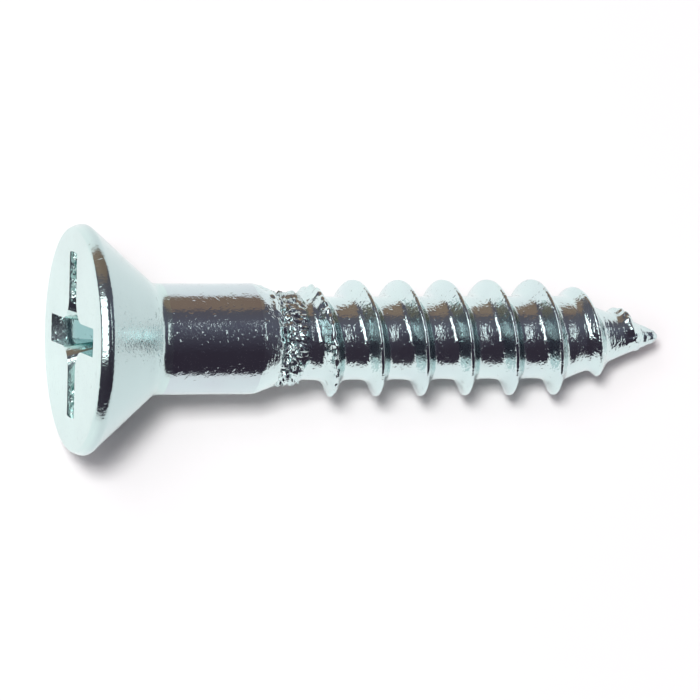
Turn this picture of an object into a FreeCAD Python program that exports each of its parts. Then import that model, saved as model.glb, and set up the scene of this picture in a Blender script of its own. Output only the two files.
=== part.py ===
# Countersunk wood screw, No. 10 x 1 in: cold-headed and thread-rolled from one zinc-plated steel blank.
#
# Units are millimetres. The axis of the screw is +X: the flat face of the head lies in the plane
# x = 0 and the point is on the +X side. The origin is the middle of the flat face and +Z is up.
#
# The screw is one piece of metal. It is drawn as seven named regions that meet face to face, so
# that the drive, the seat, the plain shank and the thread can each be found and measured.
import os
from math import atan, cos, pi, radians, sin, sqrt, tan

import FreeCAD
import Part

V = FreeCAD.Vector
ORIGIN = V(0, 0, 0)
AXIS = V(1, 0, 0)

# ---- overall -----------------------------------------------------------------------------------
LENGTH = 25.4            # flat face to tip: the nominal length of a countersunk screw, 1 in
HEAD_D = 9.60            # across the rim before its edge is rounded; 9.44 after
SHANK_D = 4.57           # plain shank
THREAD_D = 4.83          # over the crests: the nominal diameter of No. 10
CORE_D = 3.44            # between the crests
PITCH = 25.4 / 13        # 13 threads to the inch, single start, right-handed

# ---- head --------------------------------------------------------------------------------------
SEAT_ANGLE = 82.0        # included angle of the countersunk seat, the inch standard
RIM_STEP = 0.25          # the rim leans out by this much from the edge of the flat face
RIM_H = 0.42             # height of the rim, from the face to the seat
FACE_ROUND = 0.12        # round between the face and the rim
RIM_ROUND = 0.35         # round between the rim and the seat
UNDERHEAD_R = 0.80       # fillet between the seat and the shank

# ---- cross recess ------------------------------------------------------------------------------
RECESS_SPAN = 6.8        # across two opposite wings, at the face
WING_W = 1.15            # width of a wing at the face
WING_END = 0.66          # depth of a wing at its outer end
WING_LEAN = 13.25        # lean of the outer end of a wing from the axis: half of 26.5 degrees
WALL_DRAFT = 10.0        # lean of the side walls of a wing from the axis
RECESS_CORNER = 0.90     # round in the four inner corners of the cross
FLOOR_FALL = 20.0        # fall of a wing's floor towards the middle, from the face plane
PIT_D = 2.2              # the pit for the tip of the driver, in the middle of the cross
RECESS_DEPTH = 2.6       # from the face to the bottom of the pit
RECESS_TURN = 16.0       # turn of the cross about the axis, from +Y towards +Z
RECESS_RISE = 0.20       # the cross is struck this far off the axis, towards +Y

# ---- shank and neck ----------------------------------------------------------------------------
SHANK_END = 7.5          # the plain shank ends and the neck begins
NECK_D = 3.86            # the blank is reduced to this before the thread
NECK_CONE = 1.10         # length of the taper from the shank to the neck
NECK_STEP = 0.20         # length of the small taper from the neck to the core
NECK_END = 9.0           # the neck ends and the core of the thread begins

# ---- thread ------------------------------------------------------------------------------------
RIDGE_BASE = 0.86        # width of the ridge where it leaves the core
RIDGE_CREST = 0.10       # width of the crest
FOOT_STRIPS = 4          # the underside of the ridge is drawn as this many strips on the core
START_TURN = -0.39       # the ridge begins this much of a turn before the +Y side
FULL_TURN = 0.5          # it has its full height this much of a turn after the +Y side
START_HEIGHT = 0.28      # height of the ridge where it begins
POINTS_PER_TURN = 24     # points through which each helical edge is drawn

# ---- point -------------------------------------------------------------------------------------
POINT_L = 4.1            # length of the taper, measured to where its line meets the core's
POINT_BLEND = 5.0        # radius that eases the core into the taper
TIP_D = 0.60             # the rolled point ends blunt
TIP_ROUND = 0.20         # round on the blunt end
CREST_FALL_L = 4.4       # the crests begin to come down this far from the tip
CREST_LAST_L = 1.0       # the ridge ends this far from the tip
LAST_HEIGHT = 0.30       # height of the ridge where it ends

# ---- sizes that follow -------------------------------------------------------------------------
HEAD_R = HEAD_D / 2
FACE_R = HEAD_R - RIM_STEP
SHANK_R = SHANK_D / 2
NECK_R = NECK_D / 2
CORE_R = CORE_D / 2
CREST_R = THREAD_D / 2
TIP_R = TIP_D / 2

SEAT_END = RIM_H + (HEAD_R - SHANK_R) / tan(radians(SEAT_ANGLE / 2))
HEAD_END = SEAT_END + 1.15 * UNDERHEAD_R * tan(radians(SEAT_ANGLE / 4))

TAPER = atan((CORE_R - TIP_R) / POINT_L)
POINT_START = LENGTH - POINT_L - POINT_BLEND * tan(TAPER / 2)
TAPER_START = POINT_START + POINT_BLEND * sin(TAPER)

FLANK = (RIDGE_BASE - RIDGE_CREST) / 2 / (CREST_R - CORE_R)
START_X = NECK_END + RIDGE_CREST / 2 + FLANK * START_HEIGHT
CREST_FALL = LENGTH - CREST_FALL_L
CREST_LAST = LENGTH - CREST_LAST_L


def revolved(*profile):
    """Solid of revolution about the axis. The profile is (x, radius) points, in order."""
    corners = [V(x, 0, r) for x, r in profile]
    outline = Part.makePolygon(corners + corners[:1])
    return Part.Face(outline).revolve(ORIGIN, AXIS, 360)


def rings(solid, x, radius):
    """Circular edges of a turned solid, centred on the axis at x and with this radius."""
    found = []
    for edge in solid.Edges:
        curve = edge.Curve
        if not isinstance(curve, Part.Circle):
            continue
        if abs(curve.Center.x - x) < 1e-4 and abs(curve.Radius - radius) < 1e-4:
            found.append(edge)
    return found


# ---- head: a turned blank, then the cross pressed into its face ----------------------------------
def head_blank():
    blank = revolved(
        (0, 0),
        (0, FACE_R),
        (RIM_H, HEAD_R),
        (SEAT_END, SHANK_R),
        (HEAD_END, SHANK_R),
        (HEAD_END, 0),
    )
    blank = blank.makeFillet(UNDERHEAD_R, rings(blank, SEAT_END, SHANK_R))
    blank = blank.makeFillet(RIM_ROUND, rings(blank, RIM_H, HEAD_R))
    return blank.makeFillet(FACE_ROUND, rings(blank, 0, FACE_R))


def wing_pair(first_x, last_x):
    """Two opposite wings as one bar along Y, drafted, from above the face to below the pit."""
    ends = []
    for x in (first_x, last_x):
        half = WING_W / 2 - x * tan(radians(WALL_DRAFT))
        reach = RECESS_SPAN
        corners = [V(x, -reach, -half), V(x, reach, -half), V(x, reach, half), V(x, -reach, half)]
        ends.append(Part.makePolygon(corners + corners[:1]))
    return Part.makeLoft(ends, True, True)


def inner_corners(cross):
    """The four edges of the cross that run down into the head between two wings."""
    found = []
    for edge in cross.Edges:
        start = edge.Vertexes[0].Point
        end = edge.Vertexes[-1].Point
        runs_down = abs(end.x - start.x) > RECESS_DEPTH
        if runs_down and max(abs(start.y), abs(start.z)) < WING_W:
            found.append(edge)
    return found


def recess():
    above = 0.5
    bar = wing_pair(-above, RECESS_DEPTH + 0.1)
    across = bar.copy()
    across.rotate(ORIGIN, AXIS, 90)
    cross = bar.fuse(across)
    cross = cross.makeFillet(RECESS_CORNER, inner_corners(cross))

    # The wing ends, the floor and the pit are one turned shape, coaxial with the cross.
    lean = tan(radians(WING_LEAN))
    floor_r = RECESS_SPAN / 2 - WING_END * lean
    pit_x = WING_END + (floor_r - PIT_D / 2) * tan(radians(FLOOR_FALL))
    driver = revolved(
        (-above, 0),
        (-above, RECESS_SPAN / 2 + above * lean),
        (WING_END, floor_r),
        (pit_x, PIT_D / 2),
        (RECESS_DEPTH, 0),
    )
    cut = cross.common(driver)
    cut.rotate(ORIGIN, AXIS, RECESS_TURN)
    cut.translate(V(0, RECESS_RISE, 0))
    return cut


head = head_blank().cut(recess())

# ---- shank and neck ------------------------------------------------------------------------------
shank = revolved(
    (HEAD_END, 0),
    (HEAD_END, SHANK_R),
    (SHANK_END, SHANK_R),
    (SHANK_END, 0),
)

neck = revolved(
    (SHANK_END, 0),
    (SHANK_END, SHANK_R),
    (SHANK_END + NECK_CONE, NECK_R),
    (NECK_END - NECK_STEP, NECK_R),
    (NECK_END, CORE_R),
    (NECK_END, 0),
)

# ---- core of the thread, and the tapered point ---------------------------------------------------
thread_core = revolved(
    (NECK_END, 0),
    (NECK_END, CORE_R),
    (POINT_START, CORE_R),
    (POINT_START, 0),
)


def core_radius(x):
    """Radius of the core and of the point at x, without the round on the tip."""
    if x < POINT_START:
        return CORE_R
    if x < TAPER_START:
        return CORE_R - POINT_BLEND + sqrt(POINT_BLEND ** 2 - (x - POINT_START) ** 2)
    return TIP_R + (LENGTH - x) * tan(TAPER)


def tapered_point():
    start = V(POINT_START, 0, CORE_R)
    ease_x = (POINT_START + TAPER_START) / 2
    ease = V(ease_x, 0, core_radius(ease_x))
    taper = V(TAPER_START, 0, core_radius(TAPER_START))
    tip = V(LENGTH, 0, TIP_R)
    tip_axis = V(LENGTH, 0, 0)
    start_axis = V(POINT_START, 0, 0)
    outline = Part.Wire([
        Part.makeLine(start_axis, start),
        Part.Arc(start, ease, taper).toShape(),
        Part.makeLine(taper, tip),
        Part.makeLine(tip, tip_axis),
        Part.makeLine(tip_axis, start_axis),
    ])
    turned = Part.Face(outline).revolve(ORIGIN, AXIS, 360)
    return turned.makeFillet(TIP_ROUND, rings(turned, LENGTH, TIP_R))


point = tapered_point()


# ---- thread: a helical ridge that stands on the core and runs on along the point -----------------
def crest_x(turn):
    """Middle of the ridge along the axis. Turn 0 is on the +Y side, and the foot starts at the neck."""
    return START_X + PITCH * (turn - START_TURN)


def turn_at(x):
    return START_TURN + (x - START_X) / PITCH


def ridge_height(turn):
    """Height of the ridge above the core: it grows, stays full, then falls towards the tip."""
    x = crest_x(turn)
    full = CREST_R - CORE_R
    if turn < FULL_TURN:
        part = (turn - START_TURN) / (FULL_TURN - START_TURN)
        ease = (1 - cos(pi * part)) / 2
        return START_HEIGHT + (full - START_HEIGHT) * ease
    if x < CREST_FALL:
        return full
    last = core_radius(CREST_LAST) + LAST_HEIGHT
    fallen = (x - CREST_FALL) / (CREST_LAST - CREST_FALL)
    return CREST_R - (CREST_R - last) * fallen - core_radius(x)


def ridge_section(turn):
    """Outline of the ridge at this turn: over the crest, then back along the metal it stands on."""
    x = crest_x(turn)
    height = ridge_height(turn)
    crest = core_radius(x) + height
    half_crest = RIDGE_CREST / 2
    half_base = half_crest + FLANK * height
    outline = [(x - half_crest, crest), (x + half_crest, crest)]
    for step in range(FOOT_STRIPS + 1):
        foot = x + half_base * (1 - 2 * step / FOOT_STRIPS)
        outline.append((foot, core_radius(foot)))
    angle = 2 * pi * turn
    return [V(along, r * cos(angle), r * sin(angle)) for along, r in outline]


def strip(curve, following):
    """Face ruled between two helical curves that were drawn through the same turns."""
    surface = Part.BSplineSurface()
    surface.buildFromPolesMultsKnots(
        [[one, other] for one, other in zip(curve.getPoles(), following.getPoles())],
        curve.getMultiplicities(),
        [2, 2],
        curve.getKnots(),
        [0, 1],
        False,
        False,
        curve.Degree,
        1,
    )
    return surface.toShape()


def ridge(first_turn, last_turn):
    """Closed solid of the ridge between two turns. A right-handed helix advances along +X."""
    steps = max(8, round((last_turn - first_turn) * POINTS_PER_TURN))
    turns = [first_turn + (last_turn - first_turn) * i / steps for i in range(steps + 1)]
    sections = [ridge_section(turn) for turn in turns]
    curves = []
    for line in zip(*sections):
        curve = Part.BSplineCurve()
        curve.interpolate(Points=list(line), Parameters=turns)
        curves.append(curve)
    faces = [strip(one, other) for one, other in zip(curves, curves[1:] + curves[:1])]
    for end in (sections[0], sections[-1]):
        faces.append(Part.Face(Part.makePolygon(end + end[:1])))
    shell = Part.makeShell(faces)
    shell.sewShape()
    solid = Part.makeSolid(Part.Shell(shell.Faces))
    if solid.Volume < 0:
        solid.reverse()
    return solid


split = turn_at(POINT_START)
thread = ridge(START_TURN, split)
point_thread = ridge(split, turn_at(CREST_LAST))

# ---- write one file for each region --------------------------------------------------------------
NODES = {
    "head": head,
    "shank": shank,
    "neck": neck,
    "thread_core": thread_core,
    "point": point,
    "thread": thread,
    "point_thread": point_thread,
}

os.makedirs("parts", exist_ok=True)
for name, shape in NODES.items():
    solid = shape.Solids[0]
    if len(shape.Solids) != 1 or not solid.isValid():
        raise RuntimeError(name + " is not one valid solid")
    solid.exportStep("parts/" + name + ".step")
    box = solid.optimalBoundingBox()
    row = (name, solid.Volume, box.XMin, box.XMax, box.YLength)
    print("%-13s %9.3f mm3  x %7.3f to %7.3f  %6.3f across" % row)
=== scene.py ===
# %% [markdown]
# # A countersunk wood screw, from blank to studio shot
# A wood screw is one steel blank. A cold header strikes the head and the cross recess, rolling dies
# press the thread into the blank, and a zinc bath gives it a bright skin. This lesson models it in
# the same three places: the head, the plain shank, and the rolled part with its neck and point.
# Each is turned or wound round the screw's axis, which is the X axis here.

# %% Load the engineering model
import math
import bpy
import numpy as np
from mathutils import Matrix, Vector, noise


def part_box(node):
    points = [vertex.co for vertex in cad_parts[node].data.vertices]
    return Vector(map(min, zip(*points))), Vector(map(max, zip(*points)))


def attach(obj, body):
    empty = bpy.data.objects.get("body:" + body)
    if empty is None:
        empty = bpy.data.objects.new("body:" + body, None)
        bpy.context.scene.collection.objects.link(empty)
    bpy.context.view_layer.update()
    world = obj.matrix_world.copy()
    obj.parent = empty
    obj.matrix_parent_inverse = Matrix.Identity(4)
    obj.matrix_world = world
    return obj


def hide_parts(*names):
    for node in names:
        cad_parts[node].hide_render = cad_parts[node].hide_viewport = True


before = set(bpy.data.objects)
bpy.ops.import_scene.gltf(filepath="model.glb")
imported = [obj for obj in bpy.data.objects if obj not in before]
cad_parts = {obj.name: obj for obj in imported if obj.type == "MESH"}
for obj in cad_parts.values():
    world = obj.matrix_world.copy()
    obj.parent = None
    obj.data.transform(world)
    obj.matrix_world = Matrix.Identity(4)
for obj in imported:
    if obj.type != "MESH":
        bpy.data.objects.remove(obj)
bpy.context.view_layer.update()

print("nodes:", sorted(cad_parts))

# %% [markdown]
# ## Sizes
# The engineering nodes say where each region of the screw starts and ends, so the lengths are read
# from their boxes. Blender works in metres here and a screw is small, so one millimetre has a name.
# What the boxes can't say is named beside them, or where it is first needed.

# %% Read the regions and name the sizes
MM = 0.001
TAU = 2 * math.pi


def span(node):
    """Start and end of a node along the axis, and its radius, in millimetres."""
    low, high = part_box(node)
    return low[0] / MM, high[0] / MM, (high[2] - low[2]) / 2 / MM


_, HEAD_END, HEAD_R = span("head")
_, SHANK_END, SHANK_R = span("shank")
_, NECK_END, _ = span("neck")
_, _, CORE_R = span("thread_core")
_, TIP_X, _ = span("point")
_, _, CREST_R = span("thread")
PITCH = 25.4 / 13            # thirteen threads to the inch
NECK_R = 1.93                # the blank is reduced to this before the thread
TIP_R = 0.30                 # the point ends blunt
print("head ends", round(HEAD_END, 3), "shank ends", round(SHANK_END, 3), "tip", round(TIP_X, 3))
print("radii: head %.3f shank %.3f core %.3f crest %.3f" % (HEAD_R, SHANK_R, CORE_R, CREST_R))

# %% [markdown]
# ## Tools of the trade
# Most of a screw is turned, and in Blender the lathe is the Spin tool: draw half an outline, then
# spin it round the axis. The outline is drawn as one would by hand, by extruding a single vertex
# from corner to corner. Arcs in the outline are short runs of vertices.

# %% Helpers for drawing and spinning
def corner_start(name, x, r):
    """A new object in edit mode, with one vertex at x along the axis and r above it."""
    bpy.ops.object.select_all(action="DESELECT")
    bpy.ops.mesh.primitive_plane_add(size=MM, location=(0, 0, 0))
    piece = bpy.context.object
    piece.name = piece.data.name = name
    bpy.ops.object.mode_set(mode="EDIT")
    bpy.ops.mesh.select_all(action="SELECT")
    bpy.ops.mesh.merge(type="CENTER")
    bpy.ops.transform.translate(value=(x * MM, 0, r * MM))
    return piece


def draw(name, outline):
    """Draws an outline of (x, r) corners by extruding a vertex from each corner to the next."""
    piece = corner_start(name, *outline[0])
    for (x0, r0), (x1, r1) in zip(outline, outline[1:]):
        step = ((x1 - x0) * MM, 0, (r1 - r0) * MM)
        bpy.ops.mesh.extrude_vertices_move(TRANSFORM_OT_translate={"value": step})
    return piece


def arc(x, r, radius, start, end, steps):
    """Corners of an arc round (x, r), from one angle to another in degrees. 0 is +X, 90 is out."""
    corners = []
    for i in range(steps + 1):
        a = math.radians(start + (end - start) * i / steps)
        corners.append((x + radius * math.cos(a), r + radius * math.sin(a)))
    return corners


def clean(threshold=1e-8):
    """Merges what coincides in the mesh being edited, and turns its faces outwards."""
    bpy.ops.mesh.select_all(action="SELECT")
    bpy.ops.mesh.remove_doubles(threshold=threshold)
    bpy.ops.mesh.normals_make_consistent(inside=False)


def turned(name, outline, steps):
    """A solid spun from an outline that starts and ends on the axis."""
    piece = draw(name, outline)
    bpy.ops.mesh.select_all(action="SELECT")
    bpy.ops.mesh.spin(steps=steps, angle=TAU, center=(0, 0, 0), axis=(1, 0, 0))
    clean()
    bpy.ops.object.mode_set(mode="OBJECT")
    return piece


def apply_modifier(piece, kind, **settings):
    """Adds a modifier, sets it, and applies it."""
    bpy.ops.object.select_all(action="DESELECT")
    piece.select_set(True)
    bpy.context.view_layer.objects.active = piece
    bpy.ops.object.modifier_add(type=kind)
    modifier = piece.modifiers[-1]
    for key, value in settings.items():
        setattr(modifier, key, value)
    bpy.ops.object.modifier_apply(modifier=modifier.name)


def smooth(piece, angle):
    """Smooth shading, except over edges sharper than an angle in degrees."""
    bpy.ops.object.select_all(action="DESELECT")
    piece.select_set(True)
    bpy.context.view_layer.objects.active = piece
    bpy.ops.object.shade_smooth_by_angle(angle=math.radians(angle))


def report(piece):
    """Prints how many faces a piece has, and its size."""
    low, high = np.array(piece.bound_box).min(axis=0), np.array(piece.bound_box).max(axis=0)
    print(piece.name, len(piece.data.polygons), "faces, mm:", np.round((high - low) / MM, 3))


# %% [markdown]
# ## The head
# The header strikes a flat face, a rim that leans outwards and bulges a little, and the seat, a cone
# of 82 degrees that sinks flush into wood. A fillet eases the seat into the shank. The outline is
# five arcs: three over the rim and two in the fillet. Each starts in the direction where the one
# before it ended, so no light breaks on a seam.

# %% Turn the head's blank
SEAT_LEAN = 41.0             # half of the 82 degree seat


def chained(start, *arcs):
    """Corners of arcs that follow each other smoothly. Each arc is (radius, from angle, to angle)."""
    corners = [start]
    for radius, first, last in arcs:
        x, r = corners[-1]
        a = math.radians(first)
        corners += arc(x - radius * math.cos(a), r - radius * math.sin(a), radius, first, last, 10)[1:]
    return corners


rim = (
    (0.12, 180, 119),
    (1.40, 119, 109),
    (0.33, 109, 90 - SEAT_LEAN),
)
rise = max(r for _, r in chained((0, 0), *rim))
seat_top = chained((0, HEAD_R - rise), *rim)
rim_x, rim_r = seat_top[-1]
fillet = chained((0, SHANK_R), (2.0, 270, 265), (0.52, 265, 270 - SEAT_LEAN))
seat_x, seat_r = fillet[-1]
shift = rim_x + (rim_r - seat_r) / math.tan(math.radians(SEAT_LEAN)) - seat_x
fillet = [(x + shift, r) for x, r in reversed(fillet)]

outline = [(0, 0), (0, 0.3 * HEAD_R), (0, 0.6 * HEAD_R), (0, 0.8 * HEAD_R)]
outline += seat_top + fillet
outline += [(HEAD_END, SHANK_R), (HEAD_END, 0)]
head = turned("struck_head", outline, 256)
report(head)

# %% [markdown]
# ## The cross recess
# The punch that forms the recess is a cross with drafted wings, turned so that each wing slopes in
# to a pit in the middle. Cutting with a model of the punch gives the true shape: a cross prism, kept
# only where a turned shape is, and taken out of the head with a Boolean. A bevel then softens every
# sharp edge, as a struck edge always is. The cross is turned a little, as the screw lies, and it is
# struck a little off the axis.

# %% Model the punch and strike the recess
RECESS_HALF = 3.4            # from the middle of the cross to the end of a wing, at the face
RECESS_DEPTH = 2.6           # down to the bottom of the pit
WING_HALF = 0.575            # half the width of a wing, at the face
WING_END = 0.66              # depth of a wing at its outer end
INNER_ROUND = 0.90           # round in the corner between two wings
PIT_R = 1.1                  # the pit in the middle
RECESS_TURN = 16.0           # turn of the cross about the axis, in degrees
RECESS_RISE = 0.20           # the punch strikes this far off the axis
EDGE_ROUND = 0.08            # softening of every struck edge
ABOVE = 1.0                  # the punch is drawn from this far above the face
draft = math.tan(math.radians(10.0))     # side walls of a wing
lean = math.tan(math.radians(13.25))     # outer end of a wing
fall = math.tan(math.radians(20.0))      # floor of a wing, towards the middle
floor_r = RECESS_HALF - WING_END * lean


def cross_outline(scale):
    """Corners of the cross, as (y, z), with round inner corners."""
    corners = []
    centre = WING_HALF + INNER_ROUND
    for quarter in range(4):
        a = quarter * math.pi / 2
        local = [(2 * RECESS_HALF, WING_HALF)]
        local += arc(centre, centre, INNER_ROUND, 270, 180, 10)
        local += [(WING_HALF, 2 * RECESS_HALF)]
        for y, z in local:
            turned_y = y * math.cos(a) - z * math.sin(a)
            turned_z = y * math.sin(a) + z * math.cos(a)
            corners.append((turned_y * scale, turned_z * scale))
    return corners


def cross_prism():
    """The cross, drawn corner by corner above the face, filled, and extruded down with a draft."""
    corners = cross_outline((WING_HALF + ABOVE * draft) / WING_HALF)
    prism = corner_start("cross", -ABOVE, 0)
    bpy.ops.transform.translate(value=(0, corners[0][0] * MM, corners[0][1] * MM))
    for (y0, z0), (y1, z1) in zip(corners, corners[1:]):
        step = (0, (y1 - y0) * MM, (z1 - z0) * MM)
        bpy.ops.mesh.extrude_vertices_move(TRANSFORM_OT_translate={"value": step})
    bpy.ops.mesh.select_all(action="SELECT")
    bpy.ops.mesh.edge_face_add()
    depth = RECESS_DEPTH + 0.1
    down = ((ABOVE + depth) * MM, 0, 0)
    bpy.ops.mesh.extrude_region_move(TRANSFORM_OT_translate={"value": down})
    narrow = (WING_HALF - depth * draft) / (WING_HALF + ABOVE * draft)
    bpy.ops.transform.resize(value=(1, narrow, narrow), center_override=(depth * MM, 0, 0))
    clean()
    bpy.ops.object.mode_set(mode="OBJECT")
    return prism


punch = turned("punch", [
    (-ABOVE / 2, 0),
    (-ABOVE / 2, RECESS_HALF + ABOVE / 2 * lean),
    (WING_END, floor_r),
    (WING_END + (floor_r - PIT_R) * fall, PIT_R),
    (RECESS_DEPTH, 0),
], 96)
cross = cross_prism()
apply_modifier(punch, "BOOLEAN", operation="INTERSECT", solver="EXACT", object=cross)
bpy.ops.object.mode_set(mode="EDIT")
bpy.ops.mesh.select_all(action="SELECT")
bpy.ops.transform.rotate(value=-math.radians(RECESS_TURN), orient_axis="X", center_override=(0, 0, 0))
bpy.ops.transform.translate(value=(0, RECESS_RISE * MM, 0))
bpy.ops.object.mode_set(mode="OBJECT")
apply_modifier(head, "BOOLEAN", operation="DIFFERENCE", solver="EXACT", object=punch)
bpy.data.objects.remove(cross)
bpy.data.objects.remove(punch)
smooth(head, 30)
apply_modifier(head, "BEVEL", width=EDGE_ROUND * MM, segments=3, limit_method="ANGLE",
               angle_limit=math.radians(28), use_clamp_overlap=True, harden_normals=True)
report(head)

# %% [markdown]
# ## The plain shank
# Between the head and the neck the blank keeps the diameter of the drawn wire. It is a plain
# cylinder on a drawing, but not under a lens: it is a hair thinner half way along than at its ends.
# The outline has enough corners for that waist, and it meets its neighbours exactly.

# %% Turn the shank
WAIST = 0.009                # the radius is smaller by this half way along
WAIST_CORNERS = 24
outline = [(HEAD_END, 0)]
for i in range(WAIST_CORNERS + 1):
    t = i / WAIST_CORNERS
    x = HEAD_END + (SHANK_END - HEAD_END) * t
    outline.append((x, SHANK_R - WAIST * math.sin(math.pi * t) ** 2))
outline.append((SHANK_END, 0))
shank = turned("plain_shank", outline, 256)
smooth(shank, 40)
report(shank)

# %% [markdown]
# ## The rolled thread
# Rolling dies squeeze the blank so that metal flows up into a ridge and leaves a thinner core. The
# ridge winds round the screw, so its mesh should wind too: the edges then follow the crest and
# nothing looks stepped. The outline of one pitch is drawn, from a root over the crest to the next
# root, and a Screw modifier winds it along the axis. Neighbouring turns meet exactly.

# %% Draw one pitch and wind it
TURN_STEPS = 180
PROFILE_STEPS = 34
RIDGE_HALF = 0.43            # half the width of the ridge where it leaves the core
CREST_HALF = 0.05            # half the width of the crest
FOOT_EASE = 0.10             # how gently the foot of the ridge runs out
CREST_EASE = 0.0015          # how gently the crest is rounded
FIRST_TURN = -2.75           # well inside the shank, to be cut off later
TURNS = 12


def ridge_share(u):
    """Height of the ridge at u from its crest, from 0 in the root to 1 on the crest."""
    line = (RIDGE_HALF - abs(u)) / (RIDGE_HALF - CREST_HALF)
    foot = 0.5 * (line + math.sqrt(line * line + FOOT_EASE))
    top = 1 - foot
    return max(0.0, 1 - 0.5 * (top + math.sqrt(top * top + CREST_EASE)))


def profile_u():
    """Places of the corners across one pitch, closer together on the ridge."""
    even = [2 * i / PROFILE_STEPS - 1 for i in range(PROFILE_STEPS + 1)]
    return [PITCH / 2 * (0.45 * s + 0.55 * s ** 3) for s in even]


across = profile_u()
base_share = ridge_share(PITCH / 2)
share = [(ridge_share(u) - base_share) / (ridge_share(0) - base_share) for u in across]
threaded = draw("rolled_body", [(u, CORE_R + (CREST_R - CORE_R) * g) for u, g in zip(across, share)])
bpy.ops.object.mode_set(mode="OBJECT")
apply_modifier(threaded, "SCREW", axis="X", angle=TAU, screw_offset=PITCH * MM, iterations=TURNS,
               steps=TURN_STEPS, render_steps=TURN_STEPS, use_merge_vertices=False)
report(threaded)

# %% [markdown]
# ## Shaping the winding
# The winding is an even thread on an even core. The real one starts against the neck, grows to its
# full height in about a turn, and sinks into the gimlet point. It could be sculpted by hand, but the
# turns would never match. Each vertex knows its turn and its place across the ridge, so those shapes
# are two curves, the radius of the core and the height of the ridge, and the vertices move to them.

# %% Move the vertices to the real core and ridge
START_TURN = -0.39           # the ridge begins this much of a turn before the +Y side
FULL_TURN = 0.5              # it has its full height this much of a turn after the +Y side
START_HEIGHT = 0.28
START_X = NECK_END + CREST_HALF + START_HEIGHT * (RIDGE_HALF - CREST_HALF) / (CREST_R - CORE_R)
CREST_FALL = TIP_X - 4.4     # the crests begin to come down here
CREST_LAST = TIP_X - 1.0     # and the ridge ends about here
LAST_HEIGHT = 0.30
POINT_CORNER = TIP_X - 4.1   # the core begins to taper here
EASE = 0.1                   # corners of the core are eased over this much either way


def core_radius(x):
    """Radius of neck, core and point along the axis."""
    places = [SHANK_END + 0.12, SHANK_END + 1.1, NECK_END - 0.2, NECK_END, POINT_CORNER,
              TIP_X - 0.20, TIP_X - 0.08, TIP_X - 0.02, TIP_X + 0.02]
    radii = [SHANK_R, NECK_R, NECK_R, CORE_R, CORE_R, TIP_R, TIP_R - 0.08, 0.10, 0.03]
    samples = [np.interp(x + offset, places, radii) for offset in np.linspace(-EASE, EASE, 9)]
    return sum(samples) / len(samples)


def ridge_height(turn):
    """Height of the ridge above the core for each turn, counted from the +Y side."""
    x = START_X + PITCH * (turn - START_TURN)
    full = CREST_R - CORE_R
    part = np.clip((turn - START_TURN) / (FULL_TURN - START_TURN), 0, 1)
    grown = START_HEIGHT + (full - START_HEIGHT) * (1 - np.cos(np.pi * part)) / 2
    begun = np.clip((turn - START_TURN) * 12 + 1, 0, 1)
    last = core_radius(np.array(CREST_LAST)) + LAST_HEIGHT
    falling = CREST_R + (last - CREST_R) * (x - CREST_FALL) / (CREST_LAST - CREST_FALL) - core_radius(x)
    height = np.where(x < CREST_FALL, grown * begun, falling)
    faded = np.clip((TIP_X - 0.9 - x) / 0.6, 0, 1)
    return np.maximum(height, 0) * faded


columns = TURN_STEPS * TURNS + 1
rows = PROFILE_STEPS + 1
co = np.empty(columns * rows * 3)
threaded.data.vertices.foreach_get("co", co)
co = co.reshape(columns, rows, 3) / MM
u = co[0, :, 0]
ridge = (np.hypot(co[0, :, 1], co[0, :, 2]) - CORE_R) / (CREST_R - CORE_R)
turn = (FIRST_TURN + np.arange(columns) / TURN_STEPS)[:, None]
x = START_X + PITCH * (turn - START_TURN) + u[None, :]
radius = core_radius(x) + ridge[None, :] * ridge_height(turn)
angle = TAU * turn
co[:, :, 0] = x
co[:, :, 1] = radius * np.cos(angle)
co[:, :, 2] = radius * np.sin(angle)
print("turns wound", TURNS, "steps", columns, "corners across a pitch", rows)

# %% [markdown]
# ## Laps and nicks
# Rolled threads on cheap wood screws are never clean. Where the dies first bite, metal folds over
# itself in small laps, the crest has nicks from the barrel, and the point is pinched. These are
# shapes, not colours, so they are put into the mesh with noise that is strong only where they are.
# Each vertex moves outwards by its lift, and along the axis. The cells of a Voronoi pattern give the
# flat-sided shards of the laps, and smooth noise gives the rest.

# %% Roughen the first turn, the crests and the point
LAP_X = NECK_END             # middle of the lap
LAP_HALF = 0.56              # half its length
LAP_R = 1.98                 # the folded metal stands up to this radius
flat = co.reshape(-1, 3)
share_all = np.repeat(ridge[None, :], columns, axis=0).reshape(-1)
turn_all = np.repeat(turn, rows, axis=1).reshape(-1)
lap = np.exp(-((flat[:, 0] - LAP_X) / LAP_HALF) ** 6)
first_crest = share_all * np.clip((0.95 - turn_all) / 0.3, 0, 1)
last_crest = share_all * np.clip((flat[:, 0] - (TIP_X - 2.4)) / 0.5, 0, 1)
near_tip = np.clip((flat[:, 0] - (TIP_X - 1.9)) / 1.2, 0, 1)


def shard(p, scale):
    """Flat-sided lumps: the step between the two nearest cells of a Voronoi pattern."""
    near, _ = noise.voronoi(p * scale)
    return near[1] - near[0]


def drift(p, scale, place=(0, 0, 0)):
    """Smooth noise, read elsewhere in its field when a place is given."""
    return noise.noise(p * scale + Vector(place))


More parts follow.
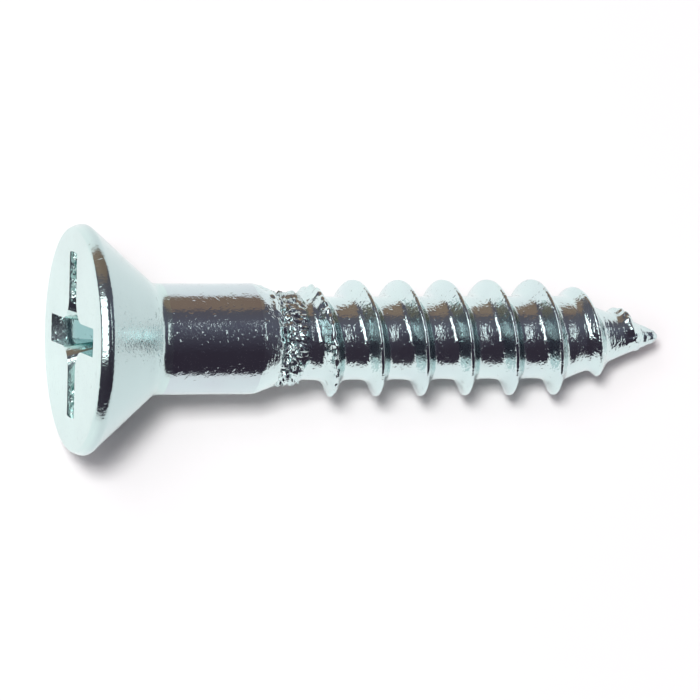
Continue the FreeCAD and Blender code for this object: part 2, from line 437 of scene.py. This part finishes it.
def roughened(p, i):
    """The vertex i, which is at p, after its knocks."""
    crest = share_all[i]
    lift = 0.010 * crest * drift(p, 1.1)
    along = 0.012 * crest * drift(p, 0.9)
    nick = max(0.0, drift(p, 1.7, (7, 3, 1)) - 0.42)
    lift -= 0.07 * crest ** 2 * nick
    if lap[i] > 0.01:
        lift += lap[i] * max(0.0, LAP_R - math.hypot(p.y, p.z))
        lift += lap[i] * (0.26 * shard(p, 3.0) + 0.18 * shard(p, 6.0) + 0.05 * drift(p, 9) - 0.20)
        along += lap[i] * 0.10 * drift(p, 2.2, (3, 9, 4))
    if first_crest[i] > 0.02:
        lift += first_crest[i] * (0.11 * drift(p, 3.6, (2, 5, 8)) - 0.02)
        along += first_crest[i] * 0.07 * drift(p, 4.2, (4, 1, 6))
    if last_crest[i] > 0.02:
        lift += last_crest[i] * 0.10 * drift(p, 3.5, (6, 2, 3))
        along += last_crest[i] * 0.08 * drift(p, 3.1)
    if near_tip[i] > 0:
        lift += near_tip[i] * (0.05 * drift(p, 4.5) + 0.03 * shard(p, 4.0) - 0.035)
    out = Vector((0, p.y, p.z)).normalized()
    return p + out * lift + Vector((along, 0, 0))


for i in range(len(flat)):
    if SHANK_END - 0.2 < flat[i, 0] < TIP_X + 0.2:
        flat[i] = roughened(Vector(flat[i]), i)
threaded.data.vertices.foreach_set("co", (flat * MM).reshape(-1))
threaded.data.update()
print("the lap reaches", int((lap > 0.01).sum()), "vertices")

# %% [markdown]
# ## Cutting to length
# The winding was made too long at both ends. Merging closes the seam between neighbouring turns, and
# the Bisect tool then cuts the ends square, fills the cuts and drops what is outside. A flat cut
# against the shank means that the two pieces share one plane, with nothing hidden inside.

# %% Join the turns and cut both ends square
bpy.ops.object.select_all(action="DESELECT")
threaded.select_set(True)
bpy.context.view_layer.objects.active = threaded
bpy.ops.object.mode_set(mode="EDIT")
bpy.ops.mesh.select_all(action="SELECT")
bpy.ops.mesh.remove_doubles(threshold=2e-7)
bpy.ops.mesh.select_all(action="SELECT")
bpy.ops.mesh.bisect(plane_co=(SHANK_END * MM, 0, 0), plane_no=(1, 0, 0), use_fill=True,
                    clear_inner=True, threshold=1e-7)
bpy.ops.mesh.select_all(action="SELECT")
bpy.ops.mesh.bisect(plane_co=(TIP_X * MM, 0, 0), plane_no=(1, 0, 0), use_fill=True,
                    clear_outer=True, threshold=1e-7)
bpy.ops.mesh.select_all(action="SELECT")
bpy.ops.mesh.normals_make_consistent(inside=False)
bpy.ops.object.mode_set(mode="OBJECT")
smooth(threaded, 50)
report(threaded)

# %% [markdown]
# ## Wiring materials
# A material is a small graph: nodes make values, and links carry them. One helper adds a node, sets
# it up, and fills its inputs with plain values or with what other nodes give. The rest name the few
# kinds of node that this lesson uses.

# %% Helpers for node trees
def put(tree, kind, inputs, **settings):
    """Adds a node. Each of its inputs takes a plain value, or the output of another node."""
    node = tree.nodes.new(kind)
    for key, value in settings.items():
        setattr(node, key, value)
    for socket, value in inputs.items():
        if isinstance(value, bpy.types.NodeSocket):
            tree.links.new(value, node.inputs[socket])
        else:
            node.inputs[socket].default_value = value
    return node


def calculated(tree, operation, first, *second):
    """A sum, a product or another operation on one value or two."""
    inputs = dict(enumerate((first, *second)))
    return put(tree, "ShaderNodeMath", inputs, operation=operation).outputs["Value"]


def spread(tree, source, low, high, to_low=0.0, to_high=1.0):
    """Stretches a value so that low becomes to_low and high becomes to_high, and clamps it."""
    inputs = {"Value": source, "From Min": low, "From Max": high, "To Min": to_low, "To Max": to_high}
    return put(tree, "ShaderNodeMapRange", inputs).outputs["Result"]


def cloud(tree, place, scale, detail):
    """Smooth noise. The scale is the number of its lumps in a metre."""
    inputs = {"Vector": place, "Scale": scale, "Detail": detail}
    return put(tree, "ShaderNodeTexNoise", inputs).outputs["Fac"]


def blend(tree, factor, first, second):
    """A colour between two others."""
    inputs = {"Factor": factor, "A": first, "B": second}
    return put(tree, "ShaderNodeMix", inputs, data_type="RGBA").outputs["Result"]


def bump(tree, height, depth, strength=1.0, before=None):
    """Tilts the normal as if the surface went up and down by a depth in millimetres."""
    inputs = {"Height": height, "Distance": depth * MM, "Strength": strength}
    if before:
        inputs["Normal"] = before
    return put(tree, "ShaderNodeBump", inputs).outputs["Normal"]


print("node helpers ready")

# %% [markdown]
# ## Bright zinc
# Zinc plate is a metal, so Metallic is 1 and its colour is the colour of its reflection. A clear
# passivate film gives a faint blue-green. The plate isn't a mirror: it has an orange-peel grain a
# tenth of a millimetre across, fine pits, and places where the bath left it duller. Noise on Object
# coordinates drives all of it, and the grain goes in as bump because it is finer than the mesh.
# The struck head, the drawn shank and the rolled thread differ in tint, grain and marks. The shank's tint is
# also a little darker than the head's, and that darkness is painted shade for the dimmer floor it reflects.

# %% Zinc materials
GRAIN_SCALE = 9000           # about a tenth of a millimetre
PIT_SCALE = 5200
RIPPLE_SCALE = 700
RIPPLE_DEPTH = 0.005


def zinc(name, tint, dull_tint, polish, grain, marks, pits):
    """Zinc plate. The polish is its least and greatest roughness, and the last three are depths."""
    material = bpy.data.materials.new(name)
    material.use_nodes = True
    tree = material.node_tree
    shader = tree.nodes["Principled BSDF"]
    shader.inputs["Metallic"].default_value = 1.0
    place = tree.nodes.new("ShaderNodeTexCoord").outputs["Object"]
    drawn_out = put(tree, "ShaderNodeMapping", {"Vector": place, "Scale": (1.0, 0.3, 0.3)}).outputs["Vector"]

    dullness = spread(tree, cloud(tree, place, 450, 3), 0.35, 0.7)
    color = blend(tree, dullness, (*tint, 1), (*dull_tint, 1))
    tree.links.new(color, shader.inputs["Base Color"])
    roughness = spread(tree, cloud(tree, place, 1400, 4), 0.3, 0.7, *polish)
    tree.links.new(roughness, shader.inputs["Roughness"])

    peel = bump(tree, cloud(tree, place, GRAIN_SCALE, 1), grain)
    marked = bump(tree, cloud(tree, drawn_out, GRAIN_SCALE, 1), marks, before=peel)
    pit = spread(tree, cloud(tree, place, PIT_SCALE, 1), 0.60, 0.74)
    pitted = bump(tree, pit, pits, before=marked)
    rippled = bump(tree, cloud(tree, place, RIPPLE_SCALE, 1), RIPPLE_DEPTH, before=pitted)
    tree.links.new(rippled, shader.inputs["Normal"])
    return material


struck = zinc("struck_zinc", (0.62, 0.79, 0.765), (0.59, 0.75, 0.73), (0.13, 0.20), 0.006, 0.0, 0.006)
# Partly painted shade: the shank's plate is a little darker than the head's.
drawn = zinc("drawn_zinc", (0.59, 0.72, 0.73), (0.57, 0.66, 0.69), (0.09, 0.16), 0.007, 0.001, 0.007)
rolled = zinc("rolled_zinc", (0.66, 0.81, 0.80), (0.62, 0.75, 0.76), (0.10, 0.18), 0.010, 0.013, 0.008)
print("materials:", struck.name, drawn.name, rolled.name)

# %% [markdown]
# ## Places on the head
# Three places on the head look different from its face, and each is found from Object coordinates,
# with the depth below the face and the distance from the axis. The recess is deeper than the face,
# and its depth and its distance together are less than on the seat. The seat is what lies further
# out, up to where the shank begins.

# %% Masks for the recess and the seat
tree = struck.node_tree
shader = tree.nodes["Principled BSDF"]
place = tree.nodes.new("ShaderNodeTexCoord").outputs["Object"]
along_and_across = put(tree, "ShaderNodeSeparateXYZ", {"Vector": place})
depth, rise_y = along_and_across.outputs["X"], along_and_across.outputs["Y"]
across_axis = put(tree, "ShaderNodeMapping", {"Vector": place, "Scale": (0.0, 1.0, 1.0)}).outputs["Vector"]
distance = put(tree, "ShaderNodeVectorMath", {0: across_axis}, operation="LENGTH").outputs["Value"]
reach = calculated(tree, "ADD", distance, depth)
below_face = spread(tree, depth, 0.05 * MM, 0.30 * MM)
within_seat = spread(tree, reach, 4.4 * MM, 4.1 * MM)
in_recess = calculated(tree, "MULTIPLY", below_face, within_seat)
past_face = spread(tree, reach, 4.80 * MM, 5.10 * MM)
before_shank = spread(tree, depth, 3.60 * MM, 2.80 * MM)
on_seat = calculated(tree, "MULTIPLY", past_face, before_shank)
print("masks: recess and seat")

# %% [markdown]
# ## Painted shade in the recess and on the seat
# Deep in the recess the colour is darker and greener. The green is a thicker passivate film, where the bath
# drains slowly, and the darkening is painted shade. The seat is painted darker than the face: painted shade
# for the dimmer floor that it reflects.

# %% Paint shade into the recess and onto the seat
# Painted shade: deep in the recess the colour goes darker, and greener from the film.
FILM_AND_SHADE_TINT = (0.30, 0.52, 0.52, 1)
# Painted shade: the whole seat is coloured darker than the face.
SEAT_SHADE_TINT = (0.52, 0.665, 0.66, 1)
deep_down = spread(tree, depth, 0.35 * MM, 0.90 * MM)
plate_color = shader.inputs["Base Color"].links[0].from_socket
film_and_shade_color = blend(tree, calculated(tree, "MULTIPLY", in_recess, deep_down), plate_color, FILM_AND_SHADE_TINT)
tree.links.new(blend(tree, on_seat, film_and_shade_color, SEAT_SHADE_TINT), shader.inputs["Base Color"])
print("tinted:", struck.name)

# %% [markdown]
# ## Dented walls
# The punch drags on the walls of the wings and leaves them dented, most of all in the upper and the
# lower wing. The dents are far finer than the mesh of the walls, so they are bump. Their strength
# is a mask: the recess, times how far a place is from the middle, up or down.

# %% Dent the upper and the lower wing
DENT_SCALE = 3000            # about a third of a millimetre
DENT_DEPTH = 0.28
FAINT = 0.02                 # what is left of the dents in the middle and in the other two wings
outer = spread(tree, calculated(tree, "ABSOLUTE", rise_y), 1.3 * MM, 1.8 * MM, FAINT)
worn = calculated(tree, "MULTIPLY", in_recess, outer)
plate_normal = shader.inputs["Normal"].links[0].from_socket
dented = bump(tree, cloud(tree, place, DENT_SCALE, 2), DENT_DEPTH, worn, plate_normal)
tree.links.new(dented, shader.inputs["Normal"])
print("dented:", struck.name)

# %% [markdown]
# ## Handing the pieces to the frame
# Each piece takes the place of the nodes it was modelled over and rides with the one rigid body. Each takes
# its own zinc material.

# %% Dress the pieces
for piece, nodes_replaced, material, slot in (
    (head, ("head",), struck, "zinc_plate"),
    (shank, ("shank",), drawn, "zinc_plate"),
    (threaded, ("neck", "thread_core", "point", "thread", "point_thread"), rolled, "zinc_plate_rolled"),
):
    piece.data.materials.clear()
    piece.data.materials.append(material)
    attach(piece, "root")
    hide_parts(*nodes_replaced)

# %% [markdown]
# ## The studio
# A screw at rest touches the table with the rim of its head and with its thread, so its axis tips
# a few degrees. Here the axis stays level and the floor tips instead. Seen from below, the floor
# lets the eye through, so that it never hides the screw. Metal shows what surrounds it: a white
# floor below, a dim room above. The backdrop is pale for the camera only.

# %% Floor
RIM_X = 0.4                  # the widest place of the rim
rest_slope = (HEAD_R - CREST_R) / (CREST_FALL - RIM_X)
rest_angle = math.atan(rest_slope)
bpy.ops.mesh.primitive_plane_add(size=3.0, location=(0, 0, 0))
floor = bpy.context.object
floor.name = "floor"
floor.rotation_euler = (0, -rest_angle, 0)
floor.location = (RIM_X * MM, 0, -HEAD_R / math.cos(rest_angle) * MM)
paper = bpy.data.materials.new("white_floor")
paper.use_nodes = True
tree = paper.node_tree
matt = tree.nodes["Principled BSDF"]
matt.inputs["Base Color"].default_value = (0.93, 0.917, 0.913, 1)
matt.inputs["Roughness"].default_value = 0.9
matt.inputs["Specular IOR Level"].default_value = 0.0
from_below = tree.nodes.new("ShaderNodeNewGeometry").outputs["Backfacing"]
through = tree.nodes.new("ShaderNodeBsdfTransparent").outputs["BSDF"]
one_sided = put(tree, "ShaderNodeMixShader", {0: from_below, 1: matt.outputs["BSDF"], 2: through})
tree.links.new(one_sided.outputs["Shader"], tree.nodes["Material Output"].inputs["Surface"])
floor.data.materials.append(paper)
print("floor slope, degrees:", round(math.degrees(rest_angle), 2))

# %% [markdown]
# ## The room
# The screw lies on a table in a room, and bright metal shows what is in the room. The camera sees
# plain white all round. Every other ray sees a dim room, nearly black on the near side, violet-grey
# overhead and brown on the far side, which gives the shank its dark band with a brown edge.

# %% World: pale to the eye, a dim room to the metal
world = bpy.data.worlds.new("room")
bpy.context.scene.world = world
world.use_nodes = True
tree = world.node_tree
tree.nodes.clear()
direction = tree.nodes.new("ShaderNodeTexCoord").outputs["Generated"]
height = put(tree, "ShaderNodeSeparateXYZ", {"Vector": direction}).outputs["Y"]
ramp = put(tree, "ShaderNodeValToRGB", {"Fac": spread(tree, height, -1.0, 1.0)})
shades = ramp.color_ramp.elements
shades[0].position, shades[0].color = 0.20, (0.043, 0.031, 0.047, 1)
shades[1].position, shades[1].color = 0.90, (0.29, 0.19, 0.147, 1)
shades.new(0.40).color = (0.067, 0.055, 0.079, 1)
shades.new(0.65).color = (0.127, 0.115, 0.156, 1)
shades.new(0.86).color = (0.13, 0.11, 0.13, 1)
room = put(tree, "ShaderNodeBackground", {"Color": ramp.outputs["Color"]}).outputs["Background"]
white = put(tree, "ShaderNodeBackground", {"Color": (1, 1, 1, 1)}).outputs["Background"]
to_camera = tree.nodes.new("ShaderNodeLightPath").outputs["Is Camera Ray"]
seen = put(tree, "ShaderNodeMixShader", {0: to_camera, 1: room, 2: white}).outputs["Shader"]
put(tree, "ShaderNodeOutputWorld", {"Surface": seen})
print("shades of the room:", len(shades))

# %% [markdown]
# ## The lamps
# The key casts the shadow, and the fill opens it a little. Both are hidden from the metal, which
# would show them as hard squares. The lamp is the broad bright shape that the metal does show. The
# window and the far card are small, faint ones, for the sparkle on the shank and on the seat.

# %% Lights
MIDDLE = (12, 0, 0)          # every lamp is turned to the middle of the screw


def softbox(name, place, size, watts, seen, color=(1, 1, 1)):
    """An area light, in millimetres. One that isn't seen casts light but has no reflection."""
    data = bpy.data.lights.new(name, "AREA")
    data.shape = "RECTANGLE"
    data.size, data.size_y = size[0] * MM, size[1] * MM
    data.energy = watts
    data.color = color
    light = bpy.data.objects.new(name, data)
    bpy.context.collection.objects.link(light)
    light.location = Vector(place) * MM
    light.rotation_euler = (Vector(MIDDLE) - Vector(place)).to_track_quat("-Z", "Y").to_euler()
    light.visible_glossy = seen
    light.visible_camera = False
    return light


softbox("key", (-185, 8, 490), (96, 96), 2.03, False)
softbox("fill", (40, 0, 460), (600, 600), 0.08, False, (1.0, 0.72, 0.78))
softbox("lamp", (-267, 25, 414), (500, 250), 0.95, True)
softbox("window", (235, 40, 441), (320, 60), 0.08, True)
softbox("far_card", (430, 0, 70), (320, 150), 0.14, True)

# %% [markdown]
# ## The camera
# The screw is seen almost from above, a little from the head's side, so that the face and its
# recess just show. A long lens from about 0.2 m keeps the perspective gentle.

# %% Camera
THETA = math.radians(17.62)  # swing of the eye towards the head's side
SIDEWAYS = math.radians(80)  # height of the eye above the floor
ROLL = math.radians(0.366)
DISTANCE = 212.0
AIM = 11.85                  # along the axis
AIM_DROP = 0.49              # and below it, as the eye sees it
level = math.cos(THETA)
toward = Vector((-math.sin(THETA), -level * math.cos(SIDEWAYS), level * math.sin(SIDEWAYS)))
up = Vector((0, math.sin(SIDEWAYS), math.cos(SIDEWAYS)))
right = up.cross(toward)
aim = Vector((AIM, 0, 0)) - up * AIM_DROP
camera_data = bpy.data.cameras.new("camera")
camera_data.sensor_width = 36
camera_data.lens = 263.6
camera_data.clip_start = 0.01
camera_data.clip_end = 20
camera = bpy.data.objects.new("camera", camera_data)
bpy.context.collection.objects.link(camera)
turned_up = up * math.cos(ROLL) + right * math.sin(ROLL)
turned_right = turned_up.cross(toward)
camera.matrix_world = Matrix((
    (turned_right.x, turned_up.x, toward.x, 0),
    (turned_right.y, turned_up.y, toward.y, 0),
    (turned_right.z, turned_up.z, toward.z, 0),
    (0, 0, 0, 1),
))
camera.location = (aim + toward * DISTANCE) * MM
bpy.context.scene.camera = camera
bpy.context.scene.view_settings.view_transform = "Standard"
print("camera at, mm:", [round(v / MM, 1) for v in camera.location])
